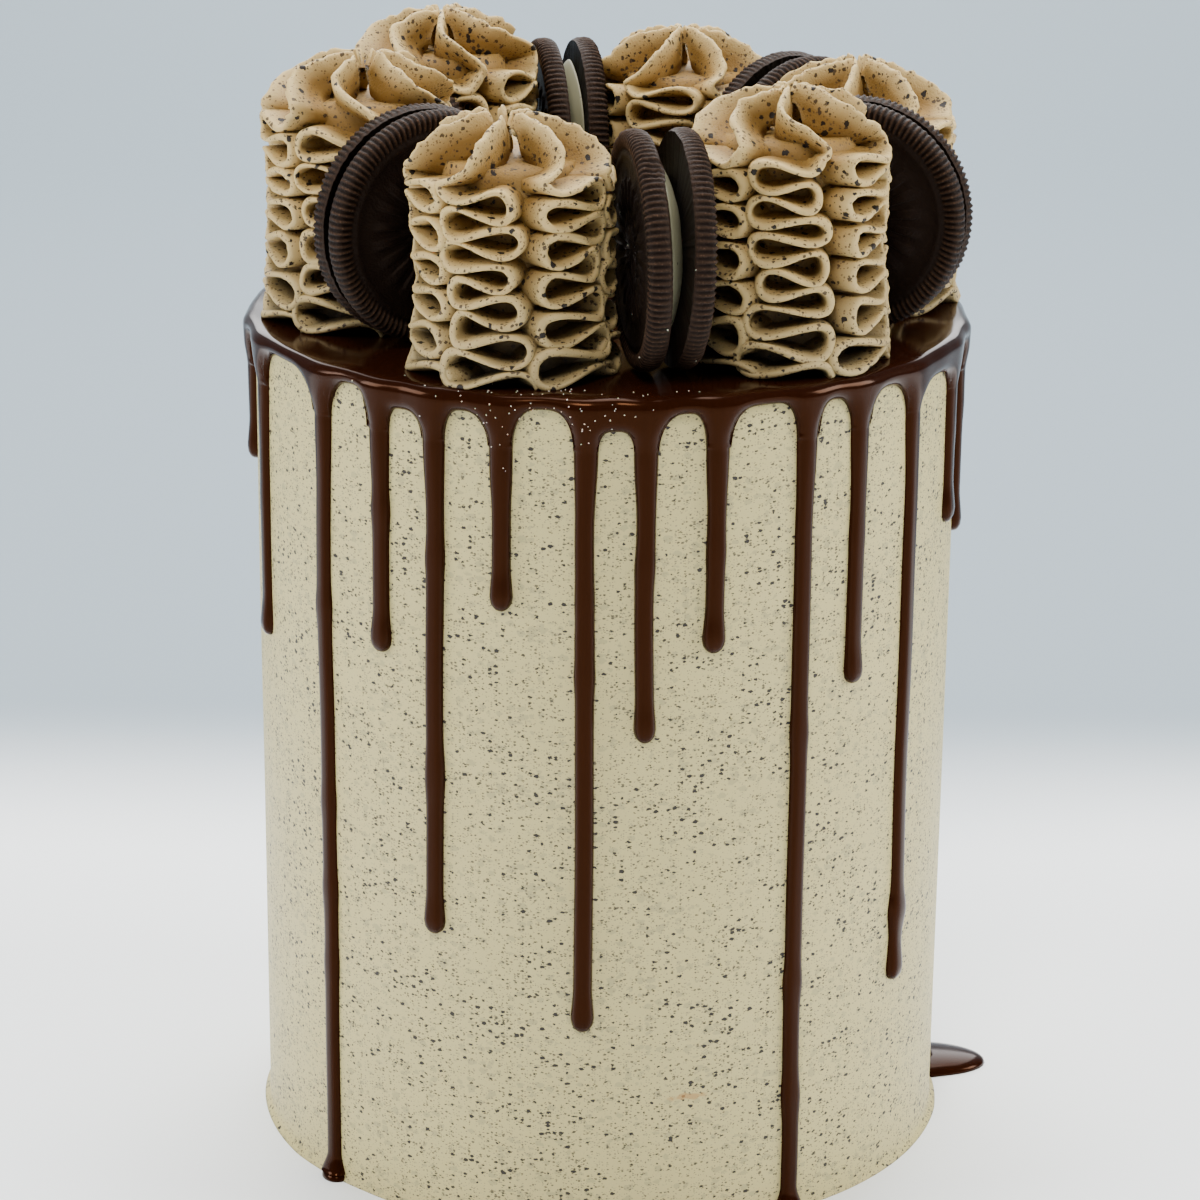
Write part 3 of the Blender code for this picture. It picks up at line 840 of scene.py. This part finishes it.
def wafer_mesh(centre, axes, radius, thick, teeth, seed, chip=None):
    """A wafer: toothed rim round its outer face, a sunk middle and a ring of short raised bars."""
    half = thick / 2
    columns = teeth * 4
    angle = np.linspace(0, 2 * math.pi, columns, endpoint=False)
    tooth = 0.5 + 0.5 * np.cos(angle * teeth)
    bar = smoothstep(0.35, 0.65, 0.5 + 0.5 * np.cos(angle * BARS))
    profile = (   # mm in from the edge, mm over the inner face, share of the teeth
        (22.4, 3.5, 0), (17.5, 3.5, 0), (14.3, 3.55, 0), (13.7, 3.6, 0), (11.4, 3.65, 0),
        (9.3, 3.65, 0), (8.7, 3.6, 0), (7.0, 3.6, 0), (5.6, 3.6, 0), (5.2, 3.75, 0), (4.8, 3.9, 0),
        (4.3, 3.9, 0),
        (3.9, 3.7, 0.1), (3.5, 3.8, 0.6), (3.0, 4.15, 1.0), (2.4, 4.4, 1.0), (1.8, 4.45, 1.0),
        (1.2, 4.35, 1.0), (0.7, 4.05, 1.0), (0.35, 3.65, 1.0), (0.12, 3.15, 0.95), (0.0, 2.5, 0.85),
        (0.02, 1.8, 0.6), (0.10, 1.1, 0.45), (0.3, 0.5, 0.3), (0.7, 0.0, 0), (22.4, 0.0, 0),
    )
    rows, fold = [], []
    for inset, level, share in profile:
        r = radius - inset * MM
        tooth_cut = (1 - tooth ** 0.7) * share * 0.65 * MM
        raised = bar if BARS_FROM < inset < BARS_TO else 0 * bar
        # Painted shade: fold is high in the grooves between the teeth and over the sunk middle, a little
        # lower on the raised bars, and lowest on the tops of the teeth.
        fold.append(np.clip((1 - tooth) * share + (1 - share) * (0.75 if inset > 3.2 else 0.35)
                            - 0.2 * raised, 0, 1))
        rough = np.array([noise.fractal(Vector((math.cos(a) * r * 900 + seed, math.sin(a) * r * 900,
                                                level * 1.5 + seed)), 0.7, 2.1, 3) for a in angle])
        lean = min(1.0, inset / 1.8)
        low = (level + 0.4 * raised) * MM - half - tooth_cut * lean
        out = r - tooth_cut * (1 - lean)
        grain = 0.13 * MM * rough * (1 if r > 3 * MM else 0)
        if chip is not None and inset < 2.0:
            near = np.exp(-((np.degrees(angle) - chip) % 360 - 6) ** 2 / 40) * smoothstep(3.6, 1.6, level)
            grain = grain * (1 + 4 * near) - 0.7 * MM * near
        rows.append(np.stack([(out + grain) * np.cos(angle), (out + grain) * np.sin(angle),
                              low + grain * 0.7], axis=-1))
    poles = [rows[0].mean(axis=0), rows[-1].mean(axis=0)]
    verts = np.concatenate(rows[1:-1] + [poles])
    fold = np.concatenate(fold[1:-1] + [[0.75, 0.35]])
    faces = tube_faces(len(rows) - 2, columns)
    pole = len(verts) - 2
    faces += [[pole, i, (i + 1) % columns] for i in range(columns)]
    base = (len(rows) - 3) * columns
    faces += [[pole + 1, base + (i + 1) % columns, base + i] for i in range(columns)]
    return verts @ axes + centre, flipped(faces), fold


def filling_mesh(centre, axes, radius, thick, seed):
    """The cream disc, pressed out a little unevenly, with a rounded edge."""
    columns = 120
    angle = np.linspace(0, 2 * math.pi, columns, endpoint=False)
    edge = radius + 0.7 * MM * noise_at(np.cos(angle) * 2 + seed, np.sin(angle) * 2, seed)
    half = thick / 2 + 0.3 * MM
    rings = [(0.3 * edge, half)]
    for turn in np.radians(np.linspace(90, -90, 9)):
        r = edge - 0.7 * MM * (1 - math.cos(turn)) - FILLING_SLANT * (1 - math.sin(turn)) / 2
        rings.append((r, half * math.sin(turn)))
    rings.append((0.3 * edge, -half))
    rows = [np.stack([r * np.cos(angle), r * np.sin(angle), 0 * angle + z], axis=-1) for r, z in rings]
    return np.concatenate(rows) @ axes + centre, flipped(closed_tube(len(rows), columns))


# The loose sugar --------------------

SUGAR_MIDDLE = -9            # degrees from the front
SUGAR_SPREAD = 11            # degrees, one standard deviation
SUGAR_FALL = 5 * MM          # how far down the rim and the drips, on average
COOKIE_SUGAR = 9             # grains tried on the front cookie


def landing_spots(rays, names):
    """Where rays, as (start, direction, reach), first meet the named pieces."""
    spots = []
    trees = []
    for name in names:
        mesh = bpy.data.objects[name].data
        trees.append(BVHTree.FromPolygons([v.co for v in mesh.vertices],
                                          [p.vertices for p in mesh.polygons]))
    for start, direction, reach in rays:
        hits = [tree.ray_cast(start, direction, reach) for tree in trees]
        hits = [hit for hit in hits if hit[0] is not None]
        if hits:
            spots.append(min(hits, key=lambda hit: hit[3])[0])   # the nearest
    return spots


def sugar_rays(count):
    """Rays from in front of the rim, from above its edge, and towards the front cookie."""
    chance = random.Random(61)
    rays = []
    for number in range(count):
        angle = math.radians(chance.gauss(SUGAR_MIDDLE, SUGAR_SPREAD))
        out = Vector((math.sin(angle), -math.cos(angle), 0))
        if number % 3:
            height = GLAZE_TOP - MM - chance.expovariate(1 / SUGAR_FALL)
            rays.append((out * (CAKE_RADIUS + 10 * MM) + Vector((0, 0, height)), -out, 12 * MM))
        else:
            start = out * (CAKE_RADIUS - chance.uniform(-1.5, 6) * MM)
            rays.append((start + Vector((0, 0, GLAZE_TOP + 4 * MM)), Vector((0, 0, -1)), 8 * MM))
    low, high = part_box("cookie_1_cream")
    for _ in range(COOKIE_SUGAR):
        start = Vector((chance.uniform(low[0] - 5 * MM, high[0] + 5 * MM), -0.1,
                        chance.uniform(low[2], high[2])))
        rays.append((start, Vector((0, 1, 0)), 60 * MM))
    return rays


def grains_mesh(spots, wide):
    """A small uneven crystal with six faces at each spot."""
    chance = random.Random(67)
    corners = np.array([(x, y, z) for x in (-0.5, 0.5) for y in (-0.5, 0.5) for z in (-0.5, 0.5)])
    sides = ((0, 1, 3, 2), (4, 6, 7, 5), (0, 4, 5, 1), (2, 3, 7, 6), (0, 2, 6, 4), (1, 5, 7, 3))
    verts, faces = [], []
    for number, spot in enumerate(spots):
        turn = Euler([chance.uniform(0, math.pi) for _ in range(3)]).to_matrix()
        shape = corners * [wide * chance.uniform(0.5, 1.3) for _ in range(3)]
        verts.append(shape @ np.array(turn) + np.array(spot))
        faces += [[number * 8 + corner for corner in side] for side in sides]
    return np.concatenate(verts), faces


# Operators --------------------

class CAKE_OT_frosting(bpy.types.Operator):
    """Make the frosted side and top of the cake"""
    bl_idname = "drip_cake.frosting"
    bl_label = "Frosting"

    def execute(self, context):
        chosen = settings().frosting
        material = frosting_material(chosen.cream, chosen.crumb, chosen.crumb_size)
        verts, faces = frosting_mesh(chosen.wave)
        add_piece("frosting", verts, faces, material, ["cake_body"])
        return {"FINISHED"}


class CAKE_OT_glaze(bpy.types.Operator):
    """Pour the chocolate glaze with its drips"""
    bl_idname = "drip_cake.glaze"
    bl_label = "Glaze"

    def execute(self, context):
        chosen = settings().glaze
        material = glaze_material(chosen.chocolate)
        verts, faces = glaze_mesh(chosen.drip_width / 2, chosen.drip_thickness)
        for angle, reach, half, tall in POOLS:
            more, more_faces = pool_mesh(math.radians(angle), reach * MM, half * MM, tall * MM)
            faces += [[index + len(verts) for index in face] for face in more_faces]
            verts = np.concatenate([verts, more])
        add_piece("glaze", verts, faces, material, ["ganache_glaze"])
        return {"FINISHED"}


class CAKE_OT_swirls(bpy.types.Operator):
    """Pipe the ruffled swirls"""
    bl_idname = "drip_cake.swirls"
    bl_label = "Swirls"

    def execute(self, context):
        chosen = settings().swirls
        material = swirl_material(chosen.buttercream, settings().frosting.crumb)
        for number, name in enumerate(SWIRL_NODES, start=1):
            low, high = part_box(name)
            foot = np.array([(low[0] + high[0]) / 2, (low[1] + high[1]) / 2, GLAZE_TOP - SWIRL_SUNK])
            verts, faces, fold = swirl_mesh(number, foot, high[2] - foot[2], chosen.fold, chosen.sheet,
                                            chosen.ribs)
            add_piece(f"piped_{name}", verts, faces, material, [name], fold)
        return {"FINISHED"}


class CAKE_OT_cookies(bpy.types.Operator):
    """Bake the sandwich cookies and stand them on the glaze"""
    bl_idname = "drip_cake.cookies"
    bl_label = "Cookies"

    def execute(self, context):
        chosen = settings().cookies
        cocoa_and_groove_shade = wafer_material(chosen.cocoa_and_groove_shade)
        shaded_filling = filling_material(chosen.shaded_filling)
        for number, name in enumerate(CREAM_NODES, start=1):
            centre, axis = disc_pose(name)
            wafer = disc_pose(name[:-len("cream")] + "wafer_b")[0]
            verts, faces = filling_mesh(centre, facing(axis, wafer - centre), FILLING_RADIUS,
                                        FILLING_THICK, number * 3.7)
            add_piece(f"filling_{number}", verts, faces, shaded_filling, [name])
        for number, name in enumerate(WAFER_NODES, start=1):
            middle = disc_pose(name[:-len("wafer_a")] + "cream")[0]
            centre, axis = disc_pose(name)
            verts, faces, fold = wafer_mesh(centre, facing(axis, centre - middle), WAFER_RADIUS, WAFER_THICK,
                                            chosen.teeth, number * 5.3, CHIPS.get(name))
            add_piece(f"biscuit_{name}", verts, faces, cocoa_and_groove_shade, [name], fold)
        return {"FINISHED"}


class CAKE_OT_sugar(bpy.types.Operator):
    """Scatter the loose sugar; the glaze and the cookies come first"""
    bl_idname = "drip_cake.sugar"
    bl_label = "Sugar"

    def execute(self, context):
        chosen = settings().sugar
        names = ["glaze", "biscuit_cookie_1_wafer_a", "biscuit_cookie_1_wafer_b"]
        spots = landing_spots(sugar_rays(chosen.count), names)
        verts, faces = grains_mesh(spots, chosen.size)
        piece = add_piece("sugar_grains", verts, faces, sugar_material(chosen.sugar), [])
        piece.data.shade_flat()
        return {"FINISHED"}


class CAKE_OT_stage(bpy.types.Operator):
    """Set the floor, the lights and the camera"""
    bl_idname = "drip_cake.stage"
    bl_label = "Stage"

    def execute(self, context):
        add_floor()
        add_lights()
        add_camera()
        return {"FINISHED"}


# The stage --------------------

CAMERA_PLACE = (-0.0009, -0.7175, 0.3423)   # metres
CAMERA_PITCH = 18.1                          # degrees below level
CAMERA_ROLL = 0.48
CAMERA_LENS = 110.7                          # mm, on a 36 mm sensor


def add_floor():
    """A pale sweep: flat under the cake, curving up behind it, where it is a cooler grey with painted shade,
    darker low on the wall.
    """
    near, far, bend, wide, top = -2.5, 0.9, 0.8, 3.5, 3.0
    profile = [(near, 0.0)]
    for turn in np.radians(np.linspace(0, 90, 25)):
        profile.append((far + bend * math.sin(turn), bend * (1 - math.cos(turn))))
    profile.append((far + bend, top))
    verts = [(x, y, z) for y, z in profile for x in (-wide, wide)]
    faces = [[2 * i, 2 * i + 1, 2 * i + 3, 2 * i + 2] for i in range(len(profile) - 1)]
    material, tree, shader = new_material("pale_paper", Roughness=0.9)
    place = add_node(tree, "TexCoord").outputs["Object"]
    axes = add_node(tree, "SeparateXYZ", {"Vector": place})
    behind = add_node(tree, "MapRange", {"Value": axes.outputs["Y"], "From Min": 0.12, "From Max": 0.24},
                      interpolation_type="SMOOTHSTEP")
    # Painted shade: the wall is painted darker at its foot, lightening up to 35 cm high.
    painted_wall_shade = add_node(tree, "MapRange", {"Value": axes.outputs["Z"], "From Max": 0.35})
    wall = layered(tree, linear("8C9AA4"), (painted_wall_shade, linear("B6C2CA")))
    dress(tree, shader, layered(tree, linear("F8FCFF"), (behind, wall)))
    floor = add_mesh("floor", verts, faces, material)


def add_lights():
    """Soft daylight from both sides and above; the room behind the camera is dim."""
    world = bpy.data.worlds.new("studio")
    world.use_nodes = True
    sky = world.node_tree.nodes["Background"]
    sky.inputs["Color"].default_value = linear("D2DEEA")
    sky.inputs["Strength"].default_value = 0.26
    bpy.context.scene.world = world
    middle, floor = (0, 0, 0.12), (0, 0.1, 0)
    lamps = (   # name, place, aim, width, watts, colour
        ("left_window", (-1.2, -0.25, 0.75), middle, 0.55, 14.5, "FFFFFF"),
        ("right_window", (1.2, -0.15, 0.75), middle, 0.55, 17.0, "FFFDF8"),
        ("top_soft", (0.0, 0.30, 1.5), middle, 0.8, 21.0, "FFFFFF"),
        ("front_fill", (-0.2, -1.0, 1.5), middle, 0.4, 18.0, "FFF8EE"),
        ("back_wash", (0.0, 0.9, 0.9), floor, 1.2, 22.0, "FFFFFF"),
    )
    for name, place, aim, width, watts, colour in lamps:
        data = bpy.data.lights.new(name, "AREA")
        data.shape = "SQUARE"
        data.size = width
        data.energy = watts
        data.color = linear(colour)[:3]
        lamp = add_object(name, data)
        lamp.location = place
        lamp.rotation_euler = (Vector(aim) - Vector(place)).to_track_quat("-Z", "Y").to_euler()


def add_camera():
    """A long lens from a little above the swirls."""
    data = bpy.data.cameras.new("camera")
    data.lens = CAMERA_LENS
    data.sensor_width = 36.0
    camera = add_object("camera", data)
    camera.location = CAMERA_PLACE
    look = Euler((math.radians(90 - CAMERA_PITCH), 0, 0)).to_matrix()
    roll = Euler((0, 0, math.radians(CAMERA_ROLL))).to_matrix()
    camera.rotation_euler = (look @ roll).to_euler()
    bpy.context.scene.camera = camera


# The add-on --------------------

class DripCakeSettings(bpy.types.PropertyGroup):
    """Everything that a user can change."""
    frosting: bpy.props.PointerProperty(type=FrostingSettings, name="Frosting")
    glaze: bpy.props.PointerProperty(type=GlazeSettings, name="Glaze")
    swirls: bpy.props.PointerProperty(type=SwirlSettings, name="Swirls")
    cookies: bpy.props.PointerProperty(type=CookieSettings, name="Cookies")
    sugar: bpy.props.PointerProperty(type=SugarSettings, name="Sugar")


OPERATORS = (CAKE_OT_frosting, CAKE_OT_glaze, CAKE_OT_swirls, CAKE_OT_cookies, CAKE_OT_sugar,
             CAKE_OT_stage)


class CAKE_PT_panel(bpy.types.Panel):
    """The cake's makers and their settings"""
    bl_idname = "CAKE_PT_panel"
    bl_label = "Drip Cake"
    bl_space_type = "VIEW_3D"
    bl_region_type = "UI"
    bl_category = "Drip Cake"

    def draw(self, context):
        for operator in OPERATORS:
            self.layout.operator(operator.bl_idname)
        chosen = settings()
        for group in (chosen.frosting, chosen.glaze, chosen.swirls, chosen.cookies, chosen.sugar):
            box = self.layout.box()
            for name in group.bl_rna.properties.keys():
                if name not in ("rna_type", "name"):
                    box.prop(group, name)


CLASSES = (FrostingSettings, GlazeSettings, SwirlSettings, CookieSettings, SugarSettings,
           DripCakeSettings, *OPERATORS, CAKE_PT_panel)


def register():
    for made in CLASSES:
        bpy.utils.register_class(made)
    bpy.types.Scene.drip_cake = bpy.props.PointerProperty(type=DripCakeSettings)


def unregister():
    del bpy.types.Scene.drip_cake
    for made in reversed(CLASSES):
        bpy.utils.unregister_class(made)


def main():
    """Make every piece in order."""
    register()
    bpy.ops.drip_cake.frosting()
    bpy.ops.drip_cake.glaze()
    bpy.ops.drip_cake.swirls()
    bpy.ops.drip_cake.cookies()
    bpy.ops.drip_cake.sugar()
    bpy.ops.drip_cake.stage()


if __name__ == "__main__":
    main()
